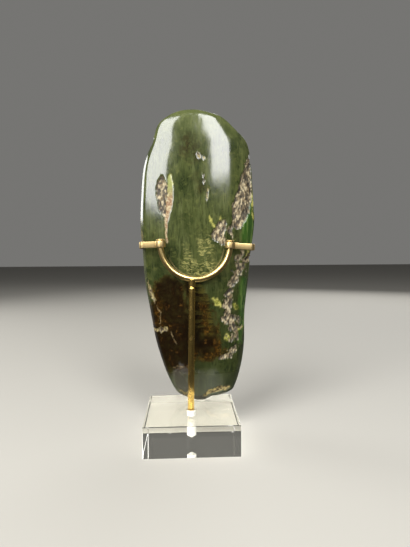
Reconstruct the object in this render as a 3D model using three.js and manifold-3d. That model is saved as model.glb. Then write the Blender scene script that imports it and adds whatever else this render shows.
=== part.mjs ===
// A polished jadeite axe head on its display stand. It stands butt down on a clear acrylic block, leans on a
// brass fork at the top of a brass post, and two brass arms reach round its sides.
// Millimetres, +Z up. +X runs to the right of the polished face, which looks towards -Y.
// The origin is the centre of the block's underside.
import * as THREE from 'three';
import { mergeVertices } from 'three/addons/utils/BufferGeometryUtils.js';
import Module from 'manifold-3d';

const wasm = await Module();
wasm.setup();

// ---------------------------------------------------------------- driving dimensions

const TOUCH = 0.3; // air left between pieces that touch

const BLOCK = { side: 60, height: 19.6, edge: 0.6 };
const HOLE = { radius: 2.95, depth: 13.2, point: 1.6 };

const FORK = { radius: 2, bend: 23.15, x: 3.5, z: 130.5, leftEnd: 133.6, rightEnd: 132.8 };
const HEAD = { radius: 2.9, height: 1, below: 0.2 };
const POST = { radius: 2.2, footX: -0.4, topX: 1.2, footDepth: 10.5 };
const FILLET = { spread: 0.45, starts: 3.2, middle: 2, full: 0.9 }; // heights are below the post's top

const STRIP = { thick: 1.15, tall: 4.2, eyeRadius: 2.35, eyeTurn: 260, eyeSteps: 18 };
const ARM_END = { curl: 3.6, hook: 66, tip: 6 };
const ARM_LEFT = { z: 130.9, droop: 2, flat: 12.1, bend: 1.9, turn: 84, side: 17.4, ...ARM_END };
const ARM_RIGHT = { z: 129.95, droop: 4, flat: 14.3, bend: 2.8, turn: 85, side: 16.8, ...ARM_END };

// How finely the round shapes are cut into flat ones.
const SIDES = { drill: 24, post: 16, head: 16, rod: 12 };
const ROD_STEPS = 26;
const DOME_STEPS = 4;
const STRIP_BEND_STEP = 14; // degrees

// ---------------------------------------------------------------- the stone's form

// From the butt to the cutting end: the left and the right edge of the outline, and half the thickness.
const STONE_ROWS = [
  { left: [1.6, 19.9], right: [12.6, 20.0], half: 5.0 },
  { left: [-3.6, 21.9], right: [17.2, 22.6], half: 7.6 },
  { left: [-9.3, 25.2], right: [28.2, 25.6], half: 9.0 },
  { left: [-13.2, 31.4], right: [32.2, 31.1], half: 10.4 },
  { left: [-18.9, 45.2], right: [36.2, 45.2], half: 12.4 },
  { left: [-24.4, 64.0], right: [38.3, 62.0], half: 14.2 },
  { left: [-28.0, 84.5], right: [38.6, 84.0], half: 15.1 },
  { left: [-31.5, 106.0], right: [41.0, 106.0], half: 15.4 },
  { left: [-32.9, 126.0], right: [42.8, 125.0], half: 15.1 },
  { left: [-34.2, 144.5], right: [45.3, 146.0], half: 14.3 },
  { left: [-33.4, 166.0], right: [44.3, 167.0], half: 12.9 },
  { left: [-31.2, 186.0], right: [42.9, 187.5], half: 10.8 },
  { left: [-25.6, 201.4], right: [40.0, 201.6], half: 8.3 },
  { left: [-21.6, 213.2], right: [32.4, 210.6], half: 5.8 },
  { left: [-14.4, 219.9], right: [22.7, 219.4], half: 3.8 },
  { left: [-6.5, 223.3], right: [12.0, 223.2], half: 2.2 },
  { left: [0.5, 224.3], right: [6.0, 224.3], half: 0.9 },
];

// The ground facets of a face: how deep it stands, as a share of the half thickness, at places across it from
// the left edge, -1, to the right edge, 1. The shares at the two edges leave the narrow flat sides.
const FACETS = [
  [-1, 0.22], [-0.94, 0.5], [-0.64, 0.84], [-0.3, 0.98], [0.25, 1], [0.6, 0.86], [0.88, 0.55], [1, 0.22],
];
const RIDGE_SHARPNESS = 30;

const STONE_FOOT_Y = 20.9; // the middle of the butt, behind the post
const STONE_LEANS_AT = 107; // the height at which the face meets the fork
const ROWS_UP = 48;
const STEPS_ACROSS = 20;
const EDGE_CROWDING = 0.4; // 0 spaces the steps evenly, more draws them together at the edges
const THINNEST = 0.15; // share of the half thickness that a hollow always leaves
const HOLLOW_WALL = 0.6; // share of a hollow's spread taken up by its sloping wall

// Lost flakes and weathered pits in the front face: centre, half width, half height and depth.
const HOLLOWS = [
  { x: -19.3, z: 165.6, wide: 4.4, tall: 14, deep: 1.8 }, // deep pit on the left bevel
  { x: 39.7, z: 181.6, wide: 3.6, tall: 10, deep: 1.6 }, // rough rind along the right edge
  { x: 37.7, z: 167.6, wide: 6.2, tall: 11, deep: 1.8 },
  { x: 35.8, z: 153.0, wide: 7.5, tall: 9, deep: 1.8 },
  { x: 20.2, z: 141.0, wide: 5.5, tall: 8, deep: 1.2 }, // pit beside the fork's right end
  { x: 36.6, z: 118.7, wide: 5.2, tall: 7.5, deep: 1.2 }, // rough vein running down the right side
  { x: 30.3, z: 102.4, wide: 4.6, tall: 10, deep: 1.2 },
  { x: 27.6, z: 81.0, wide: 6.8, tall: 9, deep: 1.4 },
  { x: 31.9, z: 68.0, wide: 4.2, tall: 7, deep: 1.0 },
  { x: 27.2, z: 51.5, wide: 5.8, tall: 6, deep: 1.2 },
  { x: -29.2, z: 97.5, wide: 3.6, tall: 9, deep: 1.2 }, // chips along the lower left edge
  { x: -20.2, z: 71.0, wide: 8.0, tall: 7, deep: 1.0 },
  { x: -7.2, z: 32.5, wide: 7.5, tall: 10, deep: 1.8 }, // flake struck from the butt
  { x: 19.2, z: 25.6, wide: 10, tall: 5, deep: 2.4 },
];

// ---------------------------------------------------------------- helpers

const radians = THREE.MathUtils.degToRad;

/** A closed geometry as a solid that can be cut and joined. */
function toSolid(geometry) {
  const bare = geometry.clone();
  bare.deleteAttribute('normal');
  bare.deleteAttribute('uv');
  const merged = mergeVertices(bare);
  return new wasm.Manifold(new wasm.Mesh({
    numProp: 3,
    vertProperties: merged.attributes.position.array,
    triVerts: Uint32Array.from(merged.index.array),
  }));
}

/** A cut or joined solid as a geometry. */
function toGeometry(solid) {
  const mesh = solid.getMesh();
  const geometry = new THREE.BufferGeometry();
  geometry.setAttribute('position', new THREE.BufferAttribute(mesh.vertProperties, 3));
  geometry.setIndex(new THREE.BufferAttribute(mesh.triVerts, 1));
  geometry.computeVertexNormals();
  return geometry;
}

/** A turned piece from [radius, height] points that start and end on the axis, standing along +Z. */
function turned(profile, sides) {
  const points = profile.map(([radius, height]) => new THREE.Vector2(radius, height));
  return new THREE.LatheGeometry(points, sides).rotateX(Math.PI / 2);
}

/** Catmull-Rom value between evenly spaced values; past either end the list goes on in a straight line. */
function smoothly(values, place) {
  const last = values.length - 1;
  const at = (i) => {
    if (i < 0) return 2 * values[0] - values[1];
    if (i > last) return 2 * values[last] - values[last - 1];
    return values[i];
  };
  const start = Math.min(Math.floor(place), last - 1);
  const t = place - start;
  const [a, b, c, d] = [at(start - 1), at(start), at(start + 1), at(start + 2)];
  return b + 0.5 * t * (c - a + t * (2 * a - 5 * b + 4 * c - d + t * (3 * (b - c) + d - a)));
}

// ---------------------------------------------------------------- acrylic block

/** Square block with small chamfers, and a blind drilled hole with its conical bottom. */
function blockGeometry() {
  const { side, height, edge } = BLOCK;
  const flat = side / 2 - 2 * edge;
  const rim = side / 2 - edge;
  const corners = [
    [flat, -rim], [rim, -flat], [rim, flat], [flat, rim],
    [-flat, rim], [-rim, flat], [-rim, -flat], [-flat, -rim],
  ];
  const outline = new THREE.Shape(corners.map(([x, y]) => new THREE.Vector2(x, y)));
  const slab = new THREE.ExtrudeGeometry(outline, {
    depth: height - 2 * edge, bevelThickness: edge, bevelSize: edge, bevelSegments: 1,
  }).translate(0, 0, edge);
  const shoulder = height - HOLE.depth;
  const above = height + 1;
  const bit = [[0, shoulder - HOLE.point], [HOLE.radius, shoulder], [HOLE.radius, above], [0, above]];
  const drill = turned(bit, SIDES.drill);
  return toGeometry(toSolid(slab).subtract(toSolid(drill)));
}

// ---------------------------------------------------------------- brass post and fork

/** The fork's centre line: down from the left end, round the half circle and up to the right end. */
class ForkLine extends THREE.Curve {
  getPoint(share, target = new THREE.Vector3()) {
    const { bend, x, z, leftEnd, rightEnd } = FORK;
    const down = leftEnd - z;
    const round = Math.PI * bend;
    const along = share * (down + round + rightEnd - z);
    if (along <= down) return target.set(x - bend, 0, leftEnd - along);
    if (along >= down + round) return target.set(x + bend, 0, z + along - down - round);
    const angle = Math.PI + (along - down) / bend;
    return target.set(x + bend * Math.cos(angle), 0, z + bend * Math.sin(angle));
  }
}

/** A round rod of the given radius along the fork's line. */
function bentRod(radius) {
  const section = new THREE.Shape().absarc(0, 0, radius, 0, 2 * Math.PI);
  return new THREE.ExtrudeGeometry(section, {
    steps: ROD_STEPS, curveSegments: SIDES.rod / 2, extrudePath: new ForkLine(),
  });
}

/** The domed head on one end of the fork, its flat underside just inside the rod's end. */
function headGeometry(x, z) {
  const dome = Array.from({ length: DOME_STEPS }, (_, i) => {
    const angle = (i / DOME_STEPS) * (Math.PI / 2);
    return [HEAD.radius * Math.cos(angle), HEAD.height * Math.sin(angle)];
  });
  const profile = [[0, -HEAD.below], [HEAD.radius, -HEAD.below], ...dome, [0, HEAD.height]];
  return turned(profile, SIDES.head).translate(x, 0, z);
}

function forkGeometry() {
  const rod = toSolid(bentRod(FORK.radius));
  const left = toSolid(headGeometry(FORK.x - FORK.bend, FORK.leftEnd));
  const right = toSolid(headGeometry(FORK.x + FORK.bend, FORK.rightEnd));
  return toGeometry(rod.add(left).add(right));
}

/** The post leans a little in the block's hole, and spreads into a brazed fillet that cups the fork. */
function postGeometry() {
  const foot = BLOCK.height - POST.footDepth;
  const aside = POST.topX - FORK.x;
  const top = FORK.z - Math.sqrt(FORK.bend ** 2 - aside ** 2) - FORK.radius / 2;
  const rise = Math.hypot(top - foot, POST.topX - POST.footX);
  const spread = POST.radius + FILLET.spread;
  const profile = [
    [0, 0], [POST.radius, 0], [POST.radius, rise - FILLET.starts],
    [(POST.radius + spread) / 2, rise - FILLET.middle], [spread, rise - FILLET.full],
    [spread, rise], [0, rise],
  ];
  const lean = Math.atan2(POST.topX - POST.footX, top - foot);
  const rod = turned(profile, SIDES.post).rotateY(lean).translate(POST.footX, 0, foot);
  return toGeometry(toSolid(rod).subtract(toSolid(bentRod(FORK.radius + TOUCH))));
}

// ---------------------------------------------------------------- brass arms

/**
 * Centre line of an arm seen from above, about the rod's axis: round the eye, straight out behind it, a bend,
 * back along the stone's side, and a short hook inwards. Each point keeps the heading there.
 */
function armLine({ flat, bend, turn, side, curl, hook, tip }) {
  const eye = STRIP.eyeRadius + STRIP.thick / 2;
  const line = [];
  let [x, y, heading] = [0, eye, 0];
  for (let i = STRIP.eyeSteps; i > 0; i -= 1) {
    const back = radians((STRIP.eyeTurn * i) / STRIP.eyeSteps);
    line.push({ x: -eye * Math.sin(back), y: eye * Math.cos(back), heading: back });
  }
  line.push({ x, y, heading });
  const straight = (length) => {
    x += length * Math.cos(heading);
    y += length * Math.sin(heading);
    line.push({ x, y, heading });
  };
  const round = (radius, degrees) => {
    const steps = Math.ceil(degrees / STRIP_BEND_STEP);
    const [cx, cy] = [x - radius * Math.sin(heading), y + radius * Math.cos(heading)];
    for (let i = 0; i < steps; i += 1) {
      heading += radians(degrees / steps);
      x = cx + radius * Math.sin(heading);
      y = cy - radius * Math.cos(heading);
      line.push({ x, y, heading });
    }
  };
  straight(flat);
  round(bend, turn);
  straight(side);
  round(curl, hook);
  straight(tip);
  return line;
}

/** The strip on edge, centred on its own height, the eye's axis at the origin. The left arm mirrors it. */
function armGeometry(arm, mirrored) {
  const half = STRIP.thick / 2;
  const beside = (offset) => ({ x, y, heading }) => {
    const outX = x - offset * Math.sin(heading);
    return new THREE.Vector2(mirrored ? -outX : outX, y + offset * Math.cos(heading));
  };
  const line = armLine(arm);
  const outline = [...line.map(beside(-half)), ...line.map(beside(half)).reverse()];
  const straightUp = { depth: STRIP.tall, bevelEnabled: false };
  const strip = new THREE.ExtrudeGeometry(new THREE.Shape(outline), straightUp);
  return strip.translate(0, 0, -STRIP.tall / 2);
}

// ---------------------------------------------------------------- stone

/** Lines through neighbouring facet corners. The face is their smooth lower bound, with soft ridges. */
const FACET_LINES = FACETS.slice(1).map(([place, share], i) => {
  const [before, shareBefore] = FACETS[i];
  const slope = (share - shareBefore) / (place - before);
  return { slope, start: share - slope * place };
});

function facetShare(place) {
  const weight = ({ slope, start }) => Math.exp(-RIDGE_SHARPNESS * (start + slope * place));
  const total = FACET_LINES.reduce((sum, line) => sum + weight(line), 0);
  return -Math.log(total) / RIDGE_SHARPNESS;
}

/** Depth lost from the front face at a place on it: bowls with flat bottoms, the deepest one counting. */
function lost(x, z) {
  return HOLLOWS.reduce((most, hollow) => {
    const apart = ((x - hollow.x) / hollow.wide) ** 2 + ((z - hollow.z) / hollow.tall) ** 2;
    return Math.max(most, hollow.deep * THREE.MathUtils.smoothstep(1 - apart, 0, HOLLOW_WALL));
  }, 0);
}

/** Middle of the stone's thickness at a height. It leans forward until its thickest part meets the post. */
function middleY(z) {
  const half = Math.max(...STONE_ROWS.map((row) => row.half));
  const restsAt = POST.radius + FILLET.spread + TOUCH + half;
  const leans = (STONE_FOOT_Y - restsAt) / (STONE_LEANS_AT - BLOCK.height);
  return STONE_FOOT_Y - leans * (z - BLOCK.height);
}

/** Closed surface of rings round the stone, each across the front face and back across the rear one. */
function stoneGeometry() {
  const channel = (pick) => STONE_ROWS.map(pick);
  const leftX = channel((row) => row.left[0]);
  const leftZ = channel((row) => row.left[1]);
  const rightX = channel((row) => row.right[0]);
  const rightZ = channel((row) => row.right[1]);
  const halves = channel((row) => row.half);
  const across = Array.from({ length: STEPS_ACROSS + 1 }, (_, i) => {
    const even = (2 * i) / STEPS_ACROSS - 1;
    return (1 - EDGE_CROWDING) * even + EDGE_CROWDING * Math.sin((even * Math.PI) / 2);
  });
  const ring = 2 * across.length;
  const positions = [];
  for (let row = 0; row <= ROWS_UP; row += 1) {
    const place = (row / ROWS_UP) * (STONE_ROWS.length - 1);
    const [x0, z0] = [smoothly(leftX, place), smoothly(leftZ, place)];
    const [x1, z1] = [smoothly(rightX, place), smoothly(rightZ, place)];
    const half = smoothly(halves, place);
    const point = (share, side) => {
      const x = x0 + ((x1 - x0) * (share + 1)) / 2;
      const z = z0 + ((z1 - z0) * (share + 1)) / 2;
      const deep = half * facetShare(share) - (side < 0 ? lost(x, z) : 0);
      positions.push(x, middleY(z) + side * Math.max(deep, THINNEST * half), z);
    };
    across.forEach((share) => point(share, -1));
    across.toReversed().forEach((share) => point(share, 1));
  }
  const index = [];
  for (let row = 0; row < ROWS_UP; row += 1) {
    for (let i = 0; i < ring; i += 1) {
      const [a, b] = [row * ring + i, row * ring + ((i + 1) % ring)];
      index.push(a, b, b + ring, a, b + ring, a + ring);
    }
  }
  const top = ROWS_UP * ring;
  for (let i = 0; i < STEPS_ACROSS; i += 1) {
    const [front, behind] = [i, ring - 1 - i];
    index.push(front, behind - 1, front + 1, front, behind, behind - 1);
    index.push(top + front, top + front + 1, top + behind - 1, top + front, top + behind - 1, top + behind);
  }
  const geometry = new THREE.BufferGeometry();
  geometry.setAttribute('position', new THREE.Float32BufferAttribute(positions, 3));
  geometry.setIndex(index);
  geometry.computeVertexNormals();
  return geometry;
}

// ---------------------------------------------------------------- finishes

const jadeite = () => new THREE.MeshStandardMaterial({ color: 0x46562d, roughness: 0.25, metalness: 0 });
const brass = () => new THREE.MeshStandardMaterial({ color: 0xb4935a, roughness: 0.3, metalness: 1 });
const acrylic = () => new THREE.MeshStandardMaterial({
  color: 0xf4f4ee, roughness: 0.05, metalness: 0, transparent: true, opacity: 0.35,
});

// ---------------------------------------------------------------- the object

const stand = new THREE.Group();

function add(name, geometry, material) {
  const mesh = new THREE.Mesh(geometry, material);
  mesh.name = name;
  stand.add(mesh);
  return mesh;
}

add('axe_head', stoneGeometry(), jadeite());
add('acrylic_block', blockGeometry(), acrylic());
add('post', postGeometry(), brass());
add('fork', forkGeometry(), brass());

const armLeft = add('arm_left', armGeometry(ARM_LEFT, true), brass());
armLeft.position.set(FORK.x - FORK.bend, 0, ARM_LEFT.z);
armLeft.rotation.y = -radians(ARM_LEFT.droop);

const armRight = add('arm_right', armGeometry(ARM_RIGHT, false), brass());
armRight.position.set(FORK.x + FORK.bend, 0, ARM_RIGHT.z);
armRight.rotation.y = radians(ARM_RIGHT.droop);

export default stand;
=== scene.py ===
# %% [markdown]
# # A jadeite axe head on its brass and acrylic stand
# The axe head is one ground and polished stone, a hand's length tall, with weathered pits, brown iron
# stain and a chipped butt. It stands in a small display mount: a clear block, a brass post, a U-shaped
# fork and two strips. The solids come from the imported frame. Every piece here is a finer surface for one
# of them, in the same place.

import math

import bpy
import numpy as np
from mathutils import Matrix, Vector


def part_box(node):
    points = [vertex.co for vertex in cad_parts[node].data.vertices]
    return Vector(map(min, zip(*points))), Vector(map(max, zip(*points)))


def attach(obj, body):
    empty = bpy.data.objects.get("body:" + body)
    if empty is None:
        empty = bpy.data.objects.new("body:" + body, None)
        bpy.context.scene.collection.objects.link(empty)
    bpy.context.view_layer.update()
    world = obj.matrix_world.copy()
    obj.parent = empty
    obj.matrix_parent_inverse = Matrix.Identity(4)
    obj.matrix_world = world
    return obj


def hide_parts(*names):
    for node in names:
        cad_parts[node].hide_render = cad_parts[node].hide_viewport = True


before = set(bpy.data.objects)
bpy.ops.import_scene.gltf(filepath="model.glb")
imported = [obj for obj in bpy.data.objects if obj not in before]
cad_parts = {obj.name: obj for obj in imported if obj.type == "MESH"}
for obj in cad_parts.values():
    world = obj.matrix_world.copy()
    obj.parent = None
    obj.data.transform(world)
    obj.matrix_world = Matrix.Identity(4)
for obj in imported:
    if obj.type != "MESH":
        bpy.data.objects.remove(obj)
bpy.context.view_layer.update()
MM = 0.001
print("solids in the frame:", sorted(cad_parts))

# %% [markdown]
# ## The camera
# The view is level with the middle of the stone, a forearm's length in front of it and a little to its
# left, turned slightly to the right. A camera is placed by three directions: right, up and backwards,
# which are the columns of its matrix. The long side of the picture takes the whole 36 mm of the sensor.

# %% Place the camera
EYE = Vector((-3.35, -286.4, 122.1)) * MM
LENS, SENSOR = 28.23, 36
TURN, TILT, ROLL = (math.radians(a) for a in (2.63, 2.18, -0.33))
ahead = Vector((math.sin(TURN) * math.cos(TILT), math.cos(TURN) * math.cos(TILT), -math.sin(TILT)))
level = Vector((math.cos(TURN), -math.sin(TURN), 0))
upright = level.cross(ahead)
right = level * math.cos(ROLL) + upright * math.sin(ROLL)
up = upright * math.cos(ROLL) - level * math.sin(ROLL)

camera = bpy.data.objects.new("camera", bpy.data.cameras.new("camera"))
camera.data.lens = LENS
camera.data.sensor_width = SENSOR
camera.data.clip_start = 0.01
camera.matrix_world = Matrix.Translation(EYE) @ Matrix((right, up, -ahead)).transposed().to_4x4()
bpy.context.scene.collection.objects.link(camera)
bpy.context.scene.camera = camera
print("camera at", [round(c / MM, 1) for c in EYE], "mm")

# %% [markdown]
# ## Shader maths as Python
# A material is a graph of nodes. Wrapping a socket in a small class lets an expression such as `1 - mask
# * 0.4` add its own Math nodes, so that a finish reads like a formula. Every other kind of node comes
# from one method.


# %% Wrap a socket, and build a finish
class Wire:
    """One output socket of a finish. Arithmetic on it adds Math nodes."""

    def __init__(self, finish, socket):
        self.finish = finish
        self.socket = socket

    def _math(self, operation, *values):
        return self.finish.node("ShaderNodeMath", {"operation": operation}, dict(enumerate(values)))

    def __add__(self, other):
        return self._math("ADD", self, other)

    def __sub__(self, other):
        return self._math("SUBTRACT", self, other)

    def __rsub__(self, other):
        return self._math("SUBTRACT", other, self)

    def __mul__(self, other):
        return self._math("MULTIPLY", self, other)

    __radd__ = __add__
    __rmul__ = __mul__

    def most(self, other):
        return self._math("MAXIMUM", self, other)

    def ramp(self, low, high):
        """0 below low, 1 above high, and an even rise between them. low above high turns it round."""
        sockets = {"Value": self, "From Min": low, "From Max": high}
        return self.finish.node("ShaderNodeMapRange", {"interpolation_type": "SMOOTHSTEP"}, sockets)


class Finish:
    """A material with one Principled shader, and the means to add nodes to it."""

    def __init__(self, name, **shader):
        self.material = bpy.data.materials.new(name)
        self.material.use_nodes = True
        self.shader = self.material.node_tree.nodes["Principled BSDF"]
        for socket, value in shader.items():
            self.shader.inputs[socket.replace("_", " ")].default_value = value

    def node(self, kind, settings, sockets, output=0):
        """A node of a kind: its settings first, then a value or a Wire for each named or numbered input."""
        made = self.material.node_tree.nodes.new(kind)
        for name, value in settings.items():
            setattr(made, name, value)
        for name, value in sockets.items():
            self.plug(made.inputs[name], value)
        return Wire(self, made.outputs[output])

    def plug(self, socket, value):
        if isinstance(value, Wire):
            self.material.node_tree.links.new(value.socket, socket)
        else:
            socket.default_value = value

    def set(self, **sockets):
        """Feeds the shader's own inputs, with _ for a space in their names."""
        for name, value in sockets.items():
            self.plug(self.shader.inputs[name.replace("_", " ")], value)

    def place(self):
        """Object coordinates, in metres."""
        return self.node("ShaderNodeTexCoord", {}, {}, "Object")

    def along_uv(self):
        """The piece's own UV map."""
        return self.node("ShaderNodeTexCoord", {}, {}, "UV")

    def stretched(self, vector, x, y, z):
        """A vector with each part scaled by its own number."""
        return self.node("ShaderNodeMapping", {}, {"Vector": vector, "Scale": (x, y, z)})

    def noise(self, vector, scale, detail=3.0, roughness=0.55, distortion=0.0):
        sockets = {"Vector": vector, "Scale": scale, "Detail": detail, "Roughness": roughness}
        return self.node("ShaderNodeTexNoise", {}, {**sockets, "Distortion": distortion})

    def painted(self, name):
        """A number stored at every point of the mesh."""
        return self.node("ShaderNodeAttribute", {"attribute_name": name}, {}, "Fac")

    def blend(self, below, above, share):
        """The colour below, covered by the colour above as far as share says."""
        settings = {"data_type": "RGBA", "blend_type": "MIX"}
        return self.node("ShaderNodeMix", settings, {0: share, 6: below, 7: above}, 2)

    def bump(self, height, distance, strength=1.0):
        return self.node("ShaderNodeBump", {}, {"Height": height, "Distance": distance, "Strength": strength})


def colour(red, green, blue):
    """A colour given as seen, 0 to 255, as the linear numbers that a shader takes."""
    seen = np.array([red, green, blue]) / 255
    linear = np.where(seen <= 0.04045, seen / 12.92, ((seen + 0.055) / 1.055) ** 2.4)
    return (*linear.tolist(), 1.0)


print("a mid green is", [round(c, 3) for c in colour(80, 95, 55)])

# %% [markdown]
# ## Surfaces as grids
# A surface is a table of points, with rows along one parameter and columns along the other. Joining each
# point to its neighbours gives the faces. A ring closes by joining its last column to the first, and an
# open end is closed by a fan to one middle point.


# %% Turn a table of points into a piece
def ring_faces(rows, columns):
    """Four-sided faces of a grid whose last column joins its first, as an array of point numbers."""
    row, column = np.meshgrid(np.arange(rows - 1), np.arange(columns), indexing="ij")
    beside = (column + 1) % columns
    here, above = row * columns, (row + 1) * columns
    corners = [here + column, here + beside, above + beside, above + column]
    return np.stack(corners, -1).reshape(-1, 4)


def closed_tube(rings):
    """Points and faces of a stack of rings (rows, columns, 3), with a fan over each end."""
    rows, columns, _ = rings.shape
    points = np.vstack([rings.reshape(-1, 3), rings[0].mean(0), rings[-1].mean(0)])
    quads = ring_faces(rows, columns)
    here = np.arange(columns)
    beside = (here + 1) % columns
    start, end = rows * columns, rows * columns + 1
    first = np.stack([beside, here, np.full(columns, start)], -1)
    last = np.stack([here, beside, np.full(columns, end)], -1) + np.array([1, 1, 0]) * (rows - 1) * columns
    return points, quads.tolist() + first.tolist() + last.tolist()


def volume(mesh):
    """Cubic centimetres inside a mesh, from each triangle's triple product. It is negative inside out."""
    mesh.calc_loop_triangles()
    corners = np.empty(len(mesh.loop_triangles) * 3, np.int32)
    mesh.loop_triangles.foreach_get("vertices", corners)
    places = np.empty(len(mesh.vertices) * 3, np.float32)
    mesh.vertices.foreach_get("co", places)
    a, b, c = (places.reshape(-1, 3)[corners.reshape(-1, 3)[:, k]] * 100 for k in range(3))
    return float((a * np.cross(b, c)).sum() / 6)


def make_piece(name, points, faces, finish, replaced, smooth=True):
    """A piece from points in mm, riding on the stand and standing for one of the frame's solids."""
    mesh = bpy.data.meshes.new(name)
    mesh.from_pydata((points * MM).tolist(), [], faces)
    mesh.polygons.foreach_set("use_smooth", np.full(len(mesh.polygons), smooth))
    mesh.materials.append(finish.material)
    piece = bpy.data.objects.new(name, mesh)
    bpy.context.scene.collection.objects.link(piece)
    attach(piece, "root")
    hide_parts(replaced)
    print(f"{name}: {len(mesh.vertices)} points, {len(mesh.polygons)} faces, {volume(mesh):.2f} cm3")
    return piece


def store(piece, name, values):
    """Keeps one number for every point of the piece under a name that a finish can read."""
    layer = piece.data.attributes.new(name, "FLOAT", "POINT")
    layer.data.foreach_set("value", values.astype(np.float32))


# %% [markdown]
# ## Repeatable noise
# Natural stone needs irregular edges and grains, the same on every run. Each corner of a lattice gets a
# number mixed from its three indices, and points between the corners blend the eight around them. Grains
# come from one jittered dot in each cell: the distance to the nearest dot is small in a grain and large
# between grains.


# %% Value noise and grains with numpy
def corner_number(cell, seed):
    """A number from 0 to 1 for each whole-numbered cell: its indices times large primes, mixed bit by bit."""
    cell = cell.astype(np.int64)
    mixed = (cell[..., 0] * 73856093) ^ (cell[..., 1] * 19349663) ^ (cell[..., 2] * 83492791) ^ (seed * 40503)
    mixed = (mixed ^ (mixed >> 13)) * 1274126177 & 0xFFFFFFFF
    return ((mixed ^ (mixed >> 16)) & 0xFFFFFF) / 0xFFFFFF


def mottle(points, size, seed):
    """Smooth noise from 0 to 1 with lumps about size across: a weighted mean of eight corner numbers."""
    scaled = points / size
    cell = np.floor(scaled)
    inside = scaled - cell
    weight = inside * inside * (3 - 2 * inside)
    total = 0
    for step in np.ndindex(2, 2, 2):
        share = np.prod(np.where(step, weight, 1 - weight), axis=-1)
        total = total + share * corner_number(cell + step, seed)
    return total


def layered(points, size, seed, layers=4):
    """Mottle at a size, half of it, a quarter and so on, each at half the weight of the last."""
    weights = 0.5 ** np.arange(layers)
    parts = [w * mottle(points, size * w, seed + i) for i, w in enumerate(weights)]
    return sum(parts) / weights.sum()


def grains(points, size, seed):
    """Distance in cells to the nearest of the jittered dots, one to a cell, and that dot's own number."""
    scaled = points / size
    cell = np.floor(scaled)
    nearest = np.full(points.shape[:-1], 9.0)
    tone = np.zeros(points.shape[:-1])
    for step in np.ndindex(3, 3, 3):
        other = cell + np.array(step) - 1
        dot = other + np.stack([corner_number(other, seed + k) for k in (1, 2, 3)], -1)
        apart = np.linalg.norm(scaled - dot, axis=-1)
        tone = np.where(apart < nearest, corner_number(other, seed + 4), tone)
        nearest = np.minimum(nearest, apart)
    return nearest, tone


def rise(value, low, high):
    """0 below low, 1 above high, and a smooth rise between."""
    t = np.clip((value - low) / (high - low), 0, 1)
    return t * t * (3 - 2 * t)


# %% [markdown]
# ## The form of the stone
# An axe head like this was pecked and ground from a jade pebble into a long pointed oval, with a rounded
# cutting end, a narrow butt, gently domed faces that turn over soft ridges into bevels, and narrow flat
# sides. Its outline is two edge curves through a few places, and its section is the smooth lower bound of
# the ground facets. A grid of two parameters carries that section from the butt to the cutting end.

# %% Sizes of the stone, in mm
# From the butt to the cutting end: left edge x and z, right edge x and z, and half the thickness.
STONE_ROWS = np.array([
    [1.6, 19.9, 12.6, 20.0, 5.0],
    [-3.6, 21.9, 17.2, 22.6, 7.6],
    [-9.3, 25.2, 28.2, 25.6, 9.0],
    [-13.2, 31.4, 32.2, 31.1, 10.4],
    [-18.9, 45.2, 36.2, 45.2, 12.4],
    [-24.4, 64.0, 38.3, 62.0, 14.2],
    [-28.0, 84.5, 38.6, 84.0, 15.1],
    [-31.5, 106.0, 41.0, 106.0, 15.4],
    [-32.9, 126.0, 42.8, 125.0, 15.1],
    [-34.2, 144.5, 45.3, 146.0, 14.3],
    [-33.4, 166.0, 44.3, 167.0, 12.9],
    [-31.2, 186.0, 42.9, 187.5, 10.8],
    [-25.6, 201.4, 40.0, 201.6, 8.3],
    [-21.6, 213.2, 32.4, 210.6, 5.8],
    [-14.4, 219.9, 22.7, 219.4, 3.8],
    [-6.5, 223.3, 12.0, 223.2, 2.2],
    [0.5, 224.3, 6.0, 224.3, 0.9],
])
# Across the face, -1 to 1, and the depth there as a share of half the thickness.
FACETS = np.array([
    [-1, 0.22], [-0.94, 0.5], [-0.64, 0.84], [-0.3, 0.98],
    [0.25, 1], [0.6, 0.86], [0.88, 0.55], [1, 0.22],
])
RIDGE_SHARPNESS = 30
BLOCK_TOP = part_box("acrylic_block")[1].z / MM
FOOT_MIDDLE, FACE_MIDDLE, LEANS_AT = 20.9, 18.35, 107.0
STONE_TALL = STONE_ROWS[-1, 1] - BLOCK_TOP
print("the stone stands on z =", round(BLOCK_TOP, 1), "and is", round(STONE_TALL, 1), "mm tall")


# %% The surface as a function of two parameters
def smoothly(values, place):
    """Catmull-Rom curve through evenly spaced rows of values. Past both ends it goes straight on."""
    padded = np.vstack([2 * values[0] - values[1], values, 2 * values[-1] - values[-2]])
    start = np.clip(np.floor(place).astype(int), 0, len(values) - 2)
    t = (place - start)[:, None]
    a, b, c, d = (padded[start + k] for k in range(4))
    return b + 0.5 * t * (c - a + t * (2 * a - 5 * b + 4 * c - d + t * (3 * (b - c) + d - a)))


def facet_share(place):
    """Depth of a face across it, as a share of half the thickness: a soft minimum over the facets' lines."""
    slope = np.diff(FACETS[:, 1]) / np.diff(FACETS[:, 0])
    start = FACETS[1:, 1] - slope * FACETS[1:, 0]
    lines = start + slope * place[..., None]
    return -np.log(np.exp(-RIDGE_SHARPNESS * lines).sum(-1)) / RIDGE_SHARPNESS


def middle_y(z):
    """The stone leans forward evenly, from the middle of its foot until its face meets the post's top."""
    return FOOT_MIDDLE - (FOOT_MIDDLE - FACE_MIDDLE) / (LEANS_AT - BLOCK_TOP) * (z - BLOCK_TOP)


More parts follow.
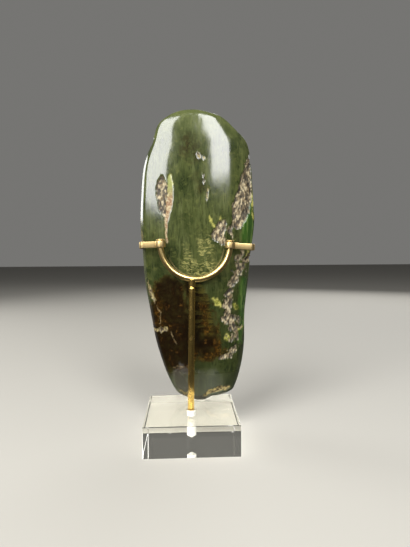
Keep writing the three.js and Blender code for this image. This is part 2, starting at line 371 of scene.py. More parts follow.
def stone_surface(place, side, up):
    """Points in mm. place runs across, -1 to 1, side from the front -1 to the rear 1, and up from 0 to 1."""
    left_x, left_z, right_x, right_z, half = smoothly(STONE_ROWS, up * (len(STONE_ROWS) - 1)).T[:, :, None]
    across = (place + 1) / 2
    x = left_x + (right_x - left_x) * across
    z = left_z + (right_z - left_z) * across
    y = middle_y(z) + side * half * facet_share(place)
    return np.stack([x, y, z], -1)


FRONT_STEPS, REAR_STEPS, SIDE_STEPS, ROWS_UP = 196, 56, 8, 350
CROWDING_ROUND, CROWDING_UP = 0.25, 0.18


def crowded(steps, share):
    """Places from -1 to 1, closer together near both ends as far as share says."""
    even = np.linspace(-1, 1, steps + 1)
    return (1 - share) * even + share * np.sin(even * math.pi / 2)


def ring_places():
    """Places round one ring: across the front, round the right side, back across the rear, round the left."""
    turn = np.linspace(-1, 1, SIDE_STEPS + 2)[1:-1]
    front, rear = crowded(FRONT_STEPS, CROWDING_ROUND), crowded(REAR_STEPS, CROWDING_ROUND)
    place = np.concatenate([front, np.ones(SIDE_STEPS), -rear, -np.ones(SIDE_STEPS)])
    side = np.concatenate([-np.ones(len(front)), turn, np.ones(len(rear)), -turn])
    return place, side


place, side = ring_places()
up_share = (1 + crowded(ROWS_UP, CROWDING_UP)) / 2
stone = stone_surface(place, side, up_share)
stone_z = stone[..., 2]
print("stone grid", stone.shape[:2], "from z", stone_z.min().round(1), "to", stone_z.max().round(1))

# %% Outward directions on the stone
by_row = np.gradient(stone, axis=0)
by_ring = np.roll(stone, -1, axis=1) - np.roll(stone, 1, axis=1)
outward = np.cross(by_ring, by_row)
outward /= np.linalg.norm(outward, axis=-1, keepdims=True) + 1e-12
facing_front = rise(0.4 - outward[..., 1], 0, 0.5)
print("the face looks towards", outward[ROWS_UP // 2, FRONT_STEPS // 2].round(2))

# %% [markdown]
# ## Where the surface is worn, broken or stained
# Pits, veins and stains follow lines in the rock. Each is a band along a path of a few points with a
# radius at each point, and noise pushes its edge in and out. The value is how deep inside the band a
# point lies, in mm, so one band can give both a crisp relief and a soft colour.


# %% Bands along a path
def inside_band(points, path, wander, size, ragged, seed):
    """How far in mm a point on the face lies inside a band: radius minus distance to the nearest segment. The
    place is first pushed about by up to wander, and a finer noise, up to ragged, is added to the result."""
    push = np.stack([layered(points, size, seed), layered(points, size, seed + 50)], -1) - 0.5
    flat = points[..., [0, 2]] + 4 * wander * push
    best = np.full(points.shape[:-1], -99.0)
    for (x0, z0, r0), (x1, z1, r1) in zip(path[:-1], path[1:]):
        run = np.array([x1 - x0, z1 - z0])
        along = np.clip(((flat - [x0, z0]) @ run) / (run @ run), 0, 1)
        apart = np.linalg.norm(flat - [x0, z0] - along[..., None] * run, axis=-1)
        best = np.maximum(best, r0 + (r1 - r0) * along - apart)
    return best + 4 * ragged * (layered(points, 2.2, seed + 90, 3) - 0.5)


def patches(paths, wander=1.0, size=4.0, ragged=0.0):
    """The deepest of several bands on the stone."""
    bands = [inside_band(stone, path, wander, size, ragged, 11 + 7 * i) for i, path in enumerate(paths)]
    return np.max(bands, axis=0)


# %% Pits and crumbling rind on the front face
LEFT_PIT = [
    (-19.4, 176.0, 2.4), (-19.2, 170.0, 3.4), (-18.9, 162.0, 3.5), (-18.4, 155.0, 2.6), (-18.0, 150.5, 0.9),
]
RIGHT_RIND = [
    (41.8, 193.0, 0.8), (41.0, 184.0, 2.6), (39.6, 175.0, 4.2), (38.0, 165.0, 5.6), (35.6, 156.0, 6.6),
    (33.8, 149.5, 5.2), (31.6, 144.5, 3.0),
]
FORK_PIT = [(23.0, 147.0, 1.2), (20.5, 141.5, 3.2), (18.6, 137.5, 3.4), (22.5, 132.5, 2.2)]
RIND_LINK = [(30.5, 146.0, 1.3), (26.6, 141.0, 1.2), (28.6, 136.5, 0.9)]
VEINS = [
    [(42.4, 124.5, 1.6), (37.6, 118.5, 3.2), (32.0, 111.0, 2.8), (28.2, 103.0, 2.5), (26.4, 96.0, 1.9)],
    [(36.0, 127.0, 0.6), (33.0, 121.0, 1.6), (30.2, 113.0, 1.6)],
    [
        (26.4, 95.0, 1.9), (25.2, 88.0, 2.9), (25.0, 81.0, 4.4), (28.0, 75.0, 3.0), (31.5, 70.0, 2.3),
        (32.2, 66.0, 1.2),
    ],
    [(27.5, 80.0, 1.8), (31.5, 79.5, 1.6), (35.6, 76.5, 1.8), (34.6, 71.5, 0.9)],
    [(31.8, 67.6, 1.2), (28.4, 65.0, 1.1), (25.4, 66.4, 1.2)],
    [(23.6, 52.4, 3.0), (27.5, 55.0, 2.6), (31.5, 57.4, 1.1), (35.4, 60.6, 0.7)],
]
solid_rind = patches([LEFT_PIT, RIGHT_RIND, FORK_PIT, RIND_LINK], wander=1.1, size=4.0, ragged=0.35)
loose_rind = patches(VEINS, wander=1.3, size=4.0, ragged=1.6) - 0.3
rind_depth = np.maximum(solid_rind, loose_rind)
rind = rise(rind_depth, -0.25, 0.3) * facing_front

lumps, lump_tone = grains(stone * [1.0, 1.0, 0.75], 2.3, 5)
crumbs, crumb_tone = grains(stone * [1.0, 1.0, 0.8], 1.15, 9)
crag = 0.5 * rise(lumps, 0.15, 0.85) + 0.35 * rise(crumbs, 0.2, 0.8)
crag = crag + 0.6 * (layered(stone, 3.0, 63, 3) - 0.35)
print("rind covers", round(float((rind > 0.5).mean() * 100), 1), "% of the grid")

# %% [markdown]
# ## Chips and flake scars
# The butt was struck and has lost shallow flakes, with a thin pale lip where one broke off. The edges
# have small chips. A flake scar is a shallow bowl whose rim is a step on one side. Long ripples cross it,
# as in glass.


# %% Chips and scars
PIT_RIM = [
    (-13.6, 176.4, 1.1), (-13.3, 168.0, 1.7), (-14.0, 159.0, 2.2), (-15.6, 151.0, 1.8), (-15.8, 147.0, 1.0),
]
PIT_CRACK = [(-15.9, 148.0, 1.0), (-16.2, 141.0, 0.7), (-15.6, 132.0, 0.5)]
BUTT_SCAR = [(-9.5, 41.0, 3.2), (-7.5, 35.0, 5.0), (-4.0, 29.0, 4.6)]
BUTT_CHIPS = [
    [(-7.0, 27.6, 0.7), (-4.6, 25.6, 1.4), (-2.6, 23.6, 1.2)],
    [(9.5, 24.6, 0.8), (14.0, 27.4, 1.7), (20.0, 29.6, 2.1), (26.0, 29.8, 1.4)],
]
EDGE_CHIPS = [
    [(-29.2, 105.0, 0.6), (-28.0, 99.0, 1.2), (-25.6, 93.4, 0.9)],
    [(-24.8, 72.6, 1.2), (-21.0, 72.0, 1.9), (-17.6, 72.8, 1.6)],
]
EDGE_LOSS = [(-29.5, 196.0, 1.2), (-27.6, 199.5, 1.6), (-25.4, 203.6, 0.8)]
SPECKS = [
    [(6.0, 192.2, 0.8), (6.6, 190.2, 1.1)],
    [(9.7, 189.6, 0.6), (10.0, 188.8, 0.5)],
    [(9.7, 173.8, 0.5), (9.8, 172.4, 0.4)],
    [(12.2, 168.0, 0.5), (12.3, 166.4, 0.4)],
    [(11.7, 165.4, 0.6), (11.8, 161.8, 0.6)],
    [(9.6, 177.8, 0.3), (9.4, 176.6, 0.3)],
]
RING_SCAR, RING_RADIUS = (-17.9, 199.6), 2.3
BUTT_ROUGH_BELOW, SIDE_ROUGH_WITHIN = 25.5, 5
TIP_STARTS, TIP_LOSS = 0.985, 0.15
rim_depth = patches([PIT_RIM, PIT_CRACK], wander=0.45, size=3.0, ragged=0.1)
scar_depth = patches([BUTT_SCAR], wander=0.7, size=7.0)
chip_depth = patches(BUTT_CHIPS + EDGE_CHIPS, wander=0.9, size=4.0, ragged=0.6)
speck_depth = patches(SPECKS, wander=0.25, size=1.5, ragged=0.1)
loss_depth = patches([EDGE_LOSS], wander=0.5, size=2.0)
ring_scar = np.abs(np.linalg.norm(stone[..., [0, 2]] - RING_SCAR, axis=-1) - RING_RADIUS)

# %% Cut the relief into the stone
polish_waves = layered(stone, 15.0, 21, 3) - 0.5
fine_waves = layered(stone * [1.0, 1.0, 0.4], 3.0, 31, 2) - 0.5
broken = layered(stone, 5.0, 41, 4) - 0.5
ripples = np.sin(stone[..., 2] * 2.4 + 3 * mottle(stone, 6.0, 51))
butt_rough = rise(BUTT_ROUGH_BELOW - stone[..., 2] + 5 * broken, 0, 3)
off_middle = np.abs(stone[..., 1] - middle_y(stone[..., 2]))
side_rough = rise(SIDE_ROUGH_WITHIN - off_middle, 0, 3)

lost = 0.14 * (polish_waves + 0.4) + 0.05 * fine_waves
lost += rind * (0.45 + 0.35 * rise(rind_depth, 0, 2.5) + crag)
lost += facing_front * rise(rim_depth, -0.3, 0.6) * (0.3 + 0.5 * broken)
lost += facing_front * rise(scar_depth, -0.2, 1.4) * (0.8 + 0.05 * ripples + 0.5 * broken)
lost += facing_front * rise(chip_depth, -0.2, 0.7) * (0.5 + 0.8 * crag)
lost += facing_front * rise(speck_depth, -0.3, 0.3) * 0.5
lost += rise(loss_depth, -0.2, 0.8) * (0.5 + 0.6 * crag)
lost += 0.15 * rise(0.5 - ring_scar, 0, 0.35) * (0.5 + broken)
lost += butt_rough * (0.25 + 1.4 * broken + 0.3 * crag) + side_rough * 0.3 * (broken + 0.3)
lost = np.where(up_share[:, None] > TIP_STARTS, np.minimum(lost, TIP_LOSS), lost)
lost = np.maximum(lost, 0)
worn_stone = stone - outward * lost[..., None]
print("deepest loss", round(float(lost.max()), 2), "mm")

# %% [markdown]
# ## The colours of the jade
# Jadeite is green from chromium and iron. Here it is a streaked dark green with lime flecks beside the pits,
# and its thin cutting end is painted paler and yellower, as painted light shining through the thin stone.
# Iron has stained the lower left almost black, amber at the stain's edge. Broad masks come from bands, some
# of them the relief's own, and are stored at the mesh's points. Fine streaks and mottling come from noise in
# the finish, so they stay crisp.

# %% Masks for the finish
DARK_STAIN = [
    [(-15.0, 99.0, 8.0), (-14.0, 88.0, 12.0), (-14.0, 74.0, 14.0), (-12.0, 58.0, 14.0), (-10.0, 48.0, 9.0)],
    [(0.0, 103.0, 2.0), (3.0, 90.0, 4.5), (7.0, 76.0, 7.5), (10.0, 64.5, 8.5), (12.0, 60.0, 5.0)],
]
BROWN_CLOUD = [
    [(0.4, 204.0, 4.0), (0.0, 197.0, 7.0), (5.0, 192.0, 5.0)],
    [(6.0, 178.0, 2.0), (7.0, 168.0, 2.6)],
]
AMBER = [
    [(3.0, 54.0, 2.2), (12.0, 53.0, 2.8), (21.0, 54.0, 3.0), (25.0, 57.0, 1.4)],
    [(-24.0, 76.0, 1.4), (-19.5, 74.6, 2.8), (-14.5, 73.6, 1.6)],
    [(-24.5, 96.0, 1.0), (-21.5, 90.0, 1.8), (-20.5, 82.0, 1.8), (-20.5, 78.0, 1.6)],
    [(-26.8, 101.0, 1.4), (-26.0, 95.0, 1.2)],
    [(17.5, 76.0, 1.2), (18.5, 66.0, 2.2), (19.5, 58.0, 2.4)],
    [(8.0, 90.0, 1.6), (10.5, 80.0, 2.4), (12.5, 72.0, 2.6)],
    [(-8.0, 45.0, 1.6), (-2.0, 46.0, 1.4)],
]
LIME = [
    [(-13.0, 177.4, 1.2), (-12.8, 171.0, 1.2), (-12.6, 165.0, 0.5)],
    [(13.2, 150.0, 0.7), (15.0, 145.6, 1.3), (16.4, 142.0, 0.7)],
    [(20.4, 148.4, 1.2), (21.4, 144.6, 1.5)],
    [(16.2, 93.4, 1.2), (18.2, 90.8, 2.4), (20.6, 88.6, 1.8)],
    [(30.2, 89.0, 1.4), (32.6, 87.2, 1.8)],
    [(43.6, 168.0, 0.6), (44.0, 158.0, 1.0), (44.2, 149.0, 0.9)],
    [(24.2, 69.0, 0.8), (25.0, 66.2, 1.7), (28.5, 65.0, 1.1)],
    [(33.0, 72.0, 0.9), (36.2, 72.4, 1.0)],
    [(40.6, 126.0, 1.0), (39.0, 119.0, 1.6), (36.6, 114.6, 0.8)],
]
BRIGHT_GREEN = [
    [(42.6, 164.0, 1.0), (42.4, 152.0, 2.4), (40.6, 144.0, 5.2), (39.6, 134.0, 4.6)],
    [(37.0, 106.0, 2.4), (36.6, 94.0, 3.0), (35.0, 62.0, 1.6)],
]
CLOUD = [
    [(-4.0, 118.0, 3.0), (2.0, 114.6, 5.0), (10.0, 115.0, 5.0), (15.0, 118.0, 2.6)],
    [(9.4, 134.0, 3.2), (10.2, 127.0, 4.4), (9.6, 121.0, 2.6)],
    [(-3.0, 128.0, 1.5), (-1.0, 124.0, 2.0)],
]
PALE_LINES = [
    [(-22.6, 88.0, 0.25), (-20.4, 84.0, 0.3), (-21.4, 75.6, 0.25)],
    [(-13.6, 71.0, 0.2), (-11.6, 66.0, 0.25), (-9.4, 62.6, 0.2)],
    [(-12.2, 45.4, 0.3), (-8.0, 46.4, 0.4), (-3.2, 46.0, 0.3)],
    [(-26.9, 79.0, 0.3), (-26.2, 72.0, 0.5), (-25.2, 68.0, 0.3)],
    [(-33.2, 160.0, 0.4), (-33.9, 150.0, 0.8), (-33.7, 138.0, 0.9), (-33.2, 133.0, 0.7)],
    [(-27.6, 102.6, 0.3), (-25.4, 93.0, 0.4), (-24.6, 90.0, 0.2)],
]
RIPPLED = [[(4.6, 104.0, 3.0), (7.0, 92.0, 5.5), (9.0, 78.0, 6.0), (10.5, 70.0, 4.0)]]
masks = {
    "rind": rind,
    # Painted shade: the deep places between the rind's lumps and crumbs, where the finish paints dark shade.
    "crevice_shade": rise(crag + 0.25 * (crumbs - 0.5), 0.36, 0.72),
    "grain_tone": 0.6 * crumb_tone + 0.4 * lump_tone,
    "rim": rise(rim_depth, -0.4, 0.5) * facing_front,
    "rim_low": rise(172 - stone[..., 2], 0, 12),
    "chip": rise(np.maximum(chip_depth, speck_depth), -0.3, 0.5) * facing_front,
    "scar": rise(scar_depth, -0.6, 1.5) * facing_front,
    "stain": rise(patches(DARK_STAIN, wander=3.2, size=13.0, ragged=1.6), -6.5, 3.5) * facing_front,
    "brown": rise(patches(BROWN_CLOUD, wander=2.0, size=8.0, ragged=0.6), -4.0, 4.0) * facing_front,
    "amber": rise(patches(AMBER, wander=1.8, size=6.0, ragged=1.2), -1.8, 2.4) * facing_front,
    "lime": rise(patches(LIME, wander=0.7, size=2.4, ragged=0.5), -0.4, 0.9) * facing_front,
    "bright": rise(patches(BRIGHT_GREEN, wander=1.0, size=5.0, ragged=0.6), -1.6, 1.8) * facing_front,
    "cloud": rise(patches(CLOUD, wander=2.0, size=7.0, ragged=0.9), -2.4, 3.0) * facing_front,
    "pale": rise(patches(PALE_LINES, wander=0.4, size=3.0, ragged=0.12), -0.35, 0.25) * facing_front,
    "rippled": rise(patches(RIPPLED, wander=1.0, size=6.0), -2.0, 2.0) * facing_front,
    "butt": butt_rough,
}
print("masks:", ", ".join(masks))

# %% The jade finish: the body colour
jade = Finish("jade", Roughness=0.2, IOR=1.6)
place_m = jade.place()
streaks = jade.noise(jade.stretched(place_m, 330, 330, 42), 1.0, 6.0, 0.65, 0.5)
threads = jade.noise(jade.stretched(place_m, 900, 900, 130), 1.0, 4.0, 0.6, 0.3)
blotches = jade.noise(place_m, 70, 5.0, 0.62, 0.3)
mottling = jade.noise(place_m, 240, 5.0, 0.65, 0.4)
speckle = jade.noise(place_m, 900, 3.0, 0.6)
gravel = jade.noise(place_m, 520, 4.0, 0.7)
height = jade.node("ShaderNodeSeparateXYZ", {}, {"Vector": place_m}, "Z")

body = jade.blend(colour(52, 62, 30), colour(82, 90, 48), blotches.ramp(0.32, 0.62))
body = jade.blend(body, colour(116, 122, 76), streaks.ramp(0.44, 0.76) * 0.75)
body = jade.blend(body, colour(34, 44, 22), threads.ramp(0.48, 0.68) * 0.6)
body = jade.blend(body, colour(108, 112, 62), mottling.ramp(0.5, 0.7) * 0.65)
# Painted light: above about z = 196 mm the thin cutting end is painted paler and yellower, as light shining
# through the thin stone.
body = jade.blend(body, colour(112, 120, 72), height.ramp(0.196, 0.226) * (0.25 + streaks * 0.8))
body = jade.blend(body, colour(46, 38, 14), jade.painted("brown") * mottling.ramp(0.3, 0.62) * 0.8)
body = jade.blend(body, colour(40, 50, 20), height.ramp(0.118, 0.088) * 0.55)
vivid = jade.blend(colour(56, 96, 34), colour(122, 150, 76), streaks.ramp(0.46, 0.66))
body = jade.blend(body, vivid, jade.painted("bright") * 0.85)

# %% The jade finish: flecks, stain and amber
wisps = jade.noise(jade.stretched(place_m, 230, 230, 420), 1.0, 5.0, 0.65, 1.2)
body = jade.blend(body, colour(190, 184, 114), jade.painted("cloud") * wisps.ramp(0.46, 0.64) * 0.9)
bars = jade.noise(jade.stretched(place_m, 90, 90, 520), 1.0, 3.0, 0.6, 0.8)
ripple_colour = jade.blend(colour(96, 88, 36), colour(24, 18, 5), bars.ramp(0.42, 0.58))
broad_stain = jade.painted("stain")
stained = broad_stain + (streaks - 0.55) * 1.1 * broad_stain.ramp(0, 0.3)
body = jade.blend(body, colour(64, 50, 16), stained.ramp(0.05, 0.5) * 0.75)
deep = stained.ramp(0.2, 0.9) * (0.62 + mottling.ramp(0.3, 0.6) * 0.36)
body = jade.blend(body, colour(26, 13, 3), deep)
embers = stained * mottling.ramp(0.54, 0.7) * streaks.ramp(0.4, 0.6)
body = jade.blend(body, colour(104, 74, 28), embers * 0.7)
body = jade.blend(body, ripple_colour, jade.painted("rippled") * (1 - deep * 0.6) * 0.62)
amber_colour = jade.blend(colour(58, 38, 8), colour(132, 92, 28), gravel.ramp(0.46, 0.68))
body = jade.blend(body, amber_colour, jade.painted("amber") * 0.55)
body = jade.blend(body, colour(50, 42, 18), jade.painted("scar") * 0.7)
lime_colour = jade.blend(colour(128, 132, 52), colour(214, 208, 116), mottling.ramp(0.42, 0.6))
body = jade.blend(body, lime_colour, jade.painted("lime") * mottling.ramp(0.28, 0.46))
body = jade.blend(body, colour(168, 148, 108), jade.painted("pale") * gravel.ramp(0.42, 0.58) * 0.7)

# %% The jade finish: rind, rims and chips, and how rough each is
rind_mask = jade.painted("rind")
low = jade.painted("rim_low")
brown_lip = jade.blend(colour(150, 100, 44), colour(216, 196, 150), gravel.ramp(0.4, 0.62))
rim_colour = jade.blend(colour(150, 156, 60), brown_lip, low)
body = jade.blend(body, rim_colour, jade.painted("rim") * 0.92)
tone = jade.painted("grain_tone")
crumb_colour = jade.blend(colour(124, 104, 68), colour(222, 204, 162), tone.ramp(0.25, 0.75))
# Painted highlight: pale specks on the crumbs stand in for glints of light on the grains.
crumb_colour = jade.blend(crumb_colour, colour(232, 220, 178), speckle.ramp(0.56, 0.72) * 0.6)
# Painted shade: the rind's crevices are painted almost black.
crumb_colour = jade.blend(crumb_colour, colour(30, 24, 12), jade.painted("crevice_shade") * 0.9)
body = jade.blend(body, crumb_colour, rind_mask)
chip_colour = jade.blend(colour(206, 186, 122), colour(74, 54, 28), gravel.ramp(0.42, 0.6))
body = jade.blend(body, chip_colour, jade.painted("chip") * 0.9)
body = jade.blend(body, colour(54, 44, 24), jade.painted("butt") * 0.6)

rough = rind_mask.most(jade.painted("chip")).most(jade.painted("butt") * 0.4).most(jade.painted("rim") * 0.7)
surface = 0.09 + blotches * 0.05 + threads * 0.05 + rough * 0.6 + jade.painted("scar") * 0.06
surface = surface + height.ramp(0.047, 0.034) * 0.3
grain_height = threads * 0.05 + speckle * (0.05 + rough * 0.9) + gravel * rough
DEPTH_OF_TONE = 0.59
body = jade.node("ShaderNodeVectorMath", {"operation": "SCALE"}, {0: body, "Scale": DEPTH_OF_TONE})
jade.set(Base_Color=body, Roughness=surface, Normal=jade.bump(grain_height, 0.0002, 0.5))

# %% The stone as a piece
points, faces = closed_tube(worn_stone)
axe = make_piece("jade_axe_head", points, faces, jade, "axe_head")
for name, values in masks.items():
    store(axe, name, np.append(values.reshape(-1), [values[0].mean(), values[-1].mean()]))

# %% [markdown]
# ## The clear block
# A display foot is cut from cast acrylic, its faces polished and its edges broken by a hair. Light bends
# into it and bounces inside, so the finish is a plain see-through shader with acrylic's own index of
# refraction. The surface is one stack of rings, listed up from the drill's point, out over the top, down
# the sides and in below, and then turned end for end so that its faces look outwards. Each ring is either a
# circle or a rounded square, with its points at the same bearings. The drilled hole is left frosted by the
# bit.

# %% Rings from circle to square
block_low, block_high = (Vector(corner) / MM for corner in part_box("acrylic_block"))
HALF_SIDE = block_high.x
HOLE_RADIUS, HOLE_DEPTH, DRILL_POINT = 2.95, 13.2, 1.6
DRILL_TIP, MOUTH_DEEP, MOUTH_WIDER = 0.3, 0.25, 0.15
EDGE_ROUND, LEAST_CORNER = 0.4, 0.05
SIDE_POINTS, CORNER_POINTS = 22, 4


def square_outline(half, corner):
    """A square ring with rounded corners, starting at the right side's lower end, anticlockwise."""
    straight = np.linspace(-1, 1, SIDE_POINTS) * (half - corner)
    angle = np.linspace(0, math.pi / 2, CORNER_POINTS + 2)[1:-1]
    side_run = np.stack([np.full(SIDE_POINTS, half), straight], -1)
    corner_run = (half - corner) + corner * np.stack([np.cos(angle), np.sin(angle)], -1)
    quarter = np.vstack([side_run, corner_run])
    quarter_turn = np.array([[0, 1], [-1, 0]])
    return np.vstack([quarter @ np.linalg.matrix_power(quarter_turn, k) for k in range(4)])


around = np.arctan2(*square_outline(HALF_SIDE, EDGE_ROUND).T[::-1])


def circle_ring(radius, z):
    """A circle whose points lie at the same bearings as the square's."""
    return np.stack([radius * np.cos(around), radius * np.sin(around), np.full(len(around), z)], -1)


def square_ring(inset, z):
    outline = square_outline(HALF_SIDE - inset, max(EDGE_ROUND - inset, LEAST_CORNER))
    return np.column_stack([outline, np.full(len(outline), z)])


top, shoulder = block_high.z, block_high.z - HOLE_DEPTH
cone = [(DRILL_TIP + (HOLE_RADIUS - DRILL_TIP) * t, shoulder - DRILL_POINT * (1 - t)) for t in (0, 0.5, 1)]
hole_rings = [circle_ring(radius, z) for radius, z in cone]
hole_rings += [circle_ring(HOLE_RADIUS, z) for z in np.linspace(shoulder, top - MOUTH_DEEP, 8)[1:]]
edge = np.linspace(0, math.pi / 2, 4)
upper_edge = [square_ring(EDGE_ROUND * (1 - math.sin(a)), top - EDGE_ROUND * (1 - math.cos(a))) for a in edge]
lower_edge = [square_ring(EDGE_ROUND * (1 - math.cos(a)), EDGE_ROUND * (1 - math.sin(a))) for a in edge]
mouth = circle_ring(HOLE_RADIUS + MOUTH_WIDER, top)
block_rings = np.stack([*hole_rings, mouth, *upper_edge, *lower_edge])[::-1]
print("block rings", len(block_rings), "of", len(around), "points")

# %% The acrylic finishes
acrylic = Finish("acrylic", Base_Color=(0.9, 0.89, 0.82, 1), Roughness=0.0, IOR=1.49, Transmission_Weight=1.0)
smudge_place = acrylic.place()
smudge = acrylic.noise(acrylic.stretched(smudge_place, 60, 160, 60), 1.0, 4.0, 0.6).ramp(0.56, 0.74)
on_top = acrylic.node("ShaderNodeSeparateXYZ", {}, {"Vector": smudge_place}, "Z").ramp(0.0193, 0.0195)
acrylic.set(Roughness=smudge * on_top * 0.22)
frosted = Finish("frosted_bore", Roughness=0.55, IOR=1.49, Transmission_Weight=0.35)
frosted.set(Base_Color=colour(236, 236, 228))

points, faces = closed_tube(block_rings)
block = make_piece("clear_block", points, faces, acrylic, "acrylic_block", smooth=False)
block.data.materials.append(frosted.material)
middles = np.empty(len(block.data.polygons) * 3, np.float32)
block.data.polygons.foreach_get("center", middles)
middles = middles.reshape(-1, 3) / MM
from_axis = np.hypot(middles[:, 0], middles[:, 1])
in_bore = (from_axis < HOLE_RADIUS + 0.01) & (middles[:, 2] > 1) & (middles[:, 2] < top - 0.1)
block.data.polygons.foreach_set("material_index", in_bore.astype(np.int32))
block.visible_shadow = False
print("frosted faces", int(in_bore.sum()))

# %% [markdown]
# ## Brass
# The rods and strips are yellow brass, cut, bent, brazed and rubbed down by hand. Their colour drifts
# from gold to a greyer brown where fingers and heat have dulled them, and fine scratches run round and
# along. On the post and the arms the scratches follow the piece's own UV map, which holds the distance
# along it and round it in centimetres. The fork is three shapes in one piece, has no such map and stays
# plain.


# %% The brass finish
def brass_finish(name, warmth, roughness):
    """Brass whose gold goes greyer and rougher in patches, with scratches that run round the piece."""
    brass = Finish(name, Metallic=1.0, Roughness=0.26)
    own = brass.along_uv()
    where = brass.place()
    tarnish = brass.noise(where, 180, 4.0, 0.6).ramp(0.45, 0.75)
    scratches = brass.noise(brass.stretched(own, 14, 1.2, 1), 1.0, 3.0, 0.6)
    gold = brass.blend(colour(238, 210, 152), colour(228, 190, 88), warmth)
    dulled = brass.blend(gold, colour(168, 140, 92), tarnish * 0.4)
    heat = brass.painted("heat")
    dulled = brass.blend(dulled, colour(120, 92, 56), heat * 0.7)
    brass.set(
        Base_Color=dulled,
        Roughness=roughness + tarnish * 0.08 + scratches * 0.05 + heat * 0.15,
        Normal=brass.bump(scratches, 0.00004, 0.2),
    )
    return brass


def store_uv(piece, rings, warm):
    """A UV map in centimetres, along and round the grid, and the heat mask for the brazed places."""
    along = np.concatenate([[0], np.cumsum(np.linalg.norm(np.diff(rings.mean(1), axis=0), axis=-1))]) / 10
    closed = np.concatenate([rings, rings[:, :1]], axis=1)
    round_it = np.linalg.norm(np.diff(closed, axis=1), axis=-1).mean(0).cumsum() / 10
    table = np.stack(np.broadcast_arrays(along[:, None], round_it[None, :]), -1).reshape(-1, 2)
    table = np.vstack([table, table[:1], table[-1:]])
    loops = np.empty(len(piece.data.loops), np.int32)
    piece.data.loops.foreach_get("vertex_index", loops)
    uv = piece.data.uv_layers.new(name="along")
    uv.data.foreach_set("uv", table[loops].astype(np.float32).ravel())
    store(piece, "heat", np.append(warm.reshape(-1), [warm[0].mean(), warm[-1].mean()]))


# %% [markdown]
# ## The fork
# One round rod is bent cold into a half circle with two short upright ends. Each end is hammered over
# into a small domed head that keeps the strip's eye on. The rod is a circle carried along its centre
# line, and the line is worked out from the distance along it: down, round the half circle and up.

# %% The fork's line
FORK_RADIUS, BEND, FORK_X, FORK_Z, LEFT_END, RIGHT_END = 2.0, 23.15, 3.5, 130.5, 133.6, 132.8
HEAD_RADIUS, HEAD_HEIGHT = 2.9, 1.0
ROD_SIDES, ROD_STEPS = 48, 190


def fork_line(along):
    """Centre points and outward side directions at distances along the rod."""
    down = LEFT_END - FORK_Z
    round_it = math.pi * BEND
    angle = math.pi + np.clip((along - down) / BEND, 0, math.pi)
    rest = np.maximum(down - along, 0) + np.maximum(along - down - round_it, 0)
    centre = np.stack([FORK_X + BEND * np.cos(angle), 0 * angle, FORK_Z + BEND * np.sin(angle) + rest], -1)
    outside = np.stack([np.cos(angle), 0 * angle, np.sin(angle)], -1)
    return centre, outside


def carried(section, centre, sideways, upright):
    """A section (points, 2) carried along a line: centre plus its two parts along two directions."""
    reach = section[None, :, 0, None] * sideways[:, None] + section[None, :, 1, None] * upright[:, None]
    return centre[:, None] + reach


def circle(radius, points):
    angle = np.linspace(0, 2 * math.pi, points, endpoint=False)
    return radius * np.stack([np.cos(angle), np.sin(angle)], -1)


fork_length = LEFT_END + RIGHT_END - 2 * FORK_Z + math.pi * BEND
along = np.linspace(0, fork_length, ROD_STEPS)
centre, outside = fork_line(along)
rearward = np.tile([0.0, 1.0, 0.0], (len(along), 1))
fork_rings = carried(circle(FORK_RADIUS, ROD_SIDES), centre, outside, rearward)
print("the fork is a rod", round(fork_length, 1), "mm long")


# %% The domed heads, and the fork as one piece
def head_rings(x, z):
    """A dome over a short straight rim: the radius falls as a cosine while the height rises as a sine."""
    turn = np.linspace(0, math.pi / 2, 12)
    radius = np.concatenate([[HEAD_RADIUS - 0.25, HEAD_RADIUS], HEAD_RADIUS * np.cos(turn)[:-1], [0.12]])
    height = np.concatenate([[-0.2, -0.05], HEAD_HEIGHT * np.sin(turn)[:-1], [HEAD_HEIGHT]])
    flat = radius[:, None, None] * circle(1.0, ROD_SIDES)
    level = np.broadcast_to(height[:, None, None], (len(height), ROD_SIDES, 1))
    return np.concatenate([flat, level], -1) + [x, 0, z]


def joined(tubes):
    """Several closed tubes as one set of points and faces."""
    points, faces, start = [], [], 0
    for rings in tubes:
        tube_points, tube_faces = closed_tube(rings)
        points.append(tube_points)
        faces += [[corner + start for corner in face] for face in tube_faces]
        start += len(tube_points)
    return np.vstack(points), faces


fork_brass = brass_finish("fork_brass", 0.35, 0.27)
heads = [head_rings(FORK_X - BEND, LEFT_END), head_rings(FORK_X + BEND, RIGHT_END)]
fork_points, fork_faces = joined([fork_rings, *heads])
make_piece("brass_fork", fork_points, fork_faces, fork_brass, "fork")

# %% [markdown]
# ## The post
# The post is a straight rod that stands in the block's hole and leans a little. A fillet of brazing metal
# climbs from it round the underside of the fork. The top rings of the post widen into an oval and rise at
# the front and back, so that they cup the fork's round underside.

# %% The post and its brazed fillet
POST_RADIUS, POST_FOOT_X, POST_TOP_X, POST_FOOT_Z = 2.2, -0.4, 1.2, top - 10.5
FOOT_BEVEL, FILLET_TALL, FILLET_WIDER, FILLET_DEEPER, SEAT_OVERLAP = 0.25, 3.4, 0.5, 0.05, 0.1
POST_SIDES, POST_RINGS, FILLET_RINGS, LOWEST_SHARE = 64, 60, 14, 0.3
fork_under = FORK_Z - math.sqrt(BEND**2 - (POST_TOP_X - FORK_X) ** 2)
rod_length = fork_under - FORK_RADIUS - FILLET_TALL - POST_FOOT_Z
turn = np.linspace(0, 2 * math.pi, POST_SIDES, endpoint=False)
climb = np.linspace(0, 1, FILLET_RINGS)
fillet = np.concatenate([np.zeros(POST_RINGS), climb])
rod_z = np.concatenate([[0, FOOT_BEVEL], np.linspace(LOWEST_SHARE, 1, POST_RINGS - 2) * rod_length])
rod_radius = np.concatenate([[POST_RADIUS - FOOT_BEVEL], np.full(POST_RINGS - 1, POST_RADIUS)])
wide = np.concatenate([rod_radius, POST_RADIUS + FILLET_WIDER * climb**2])
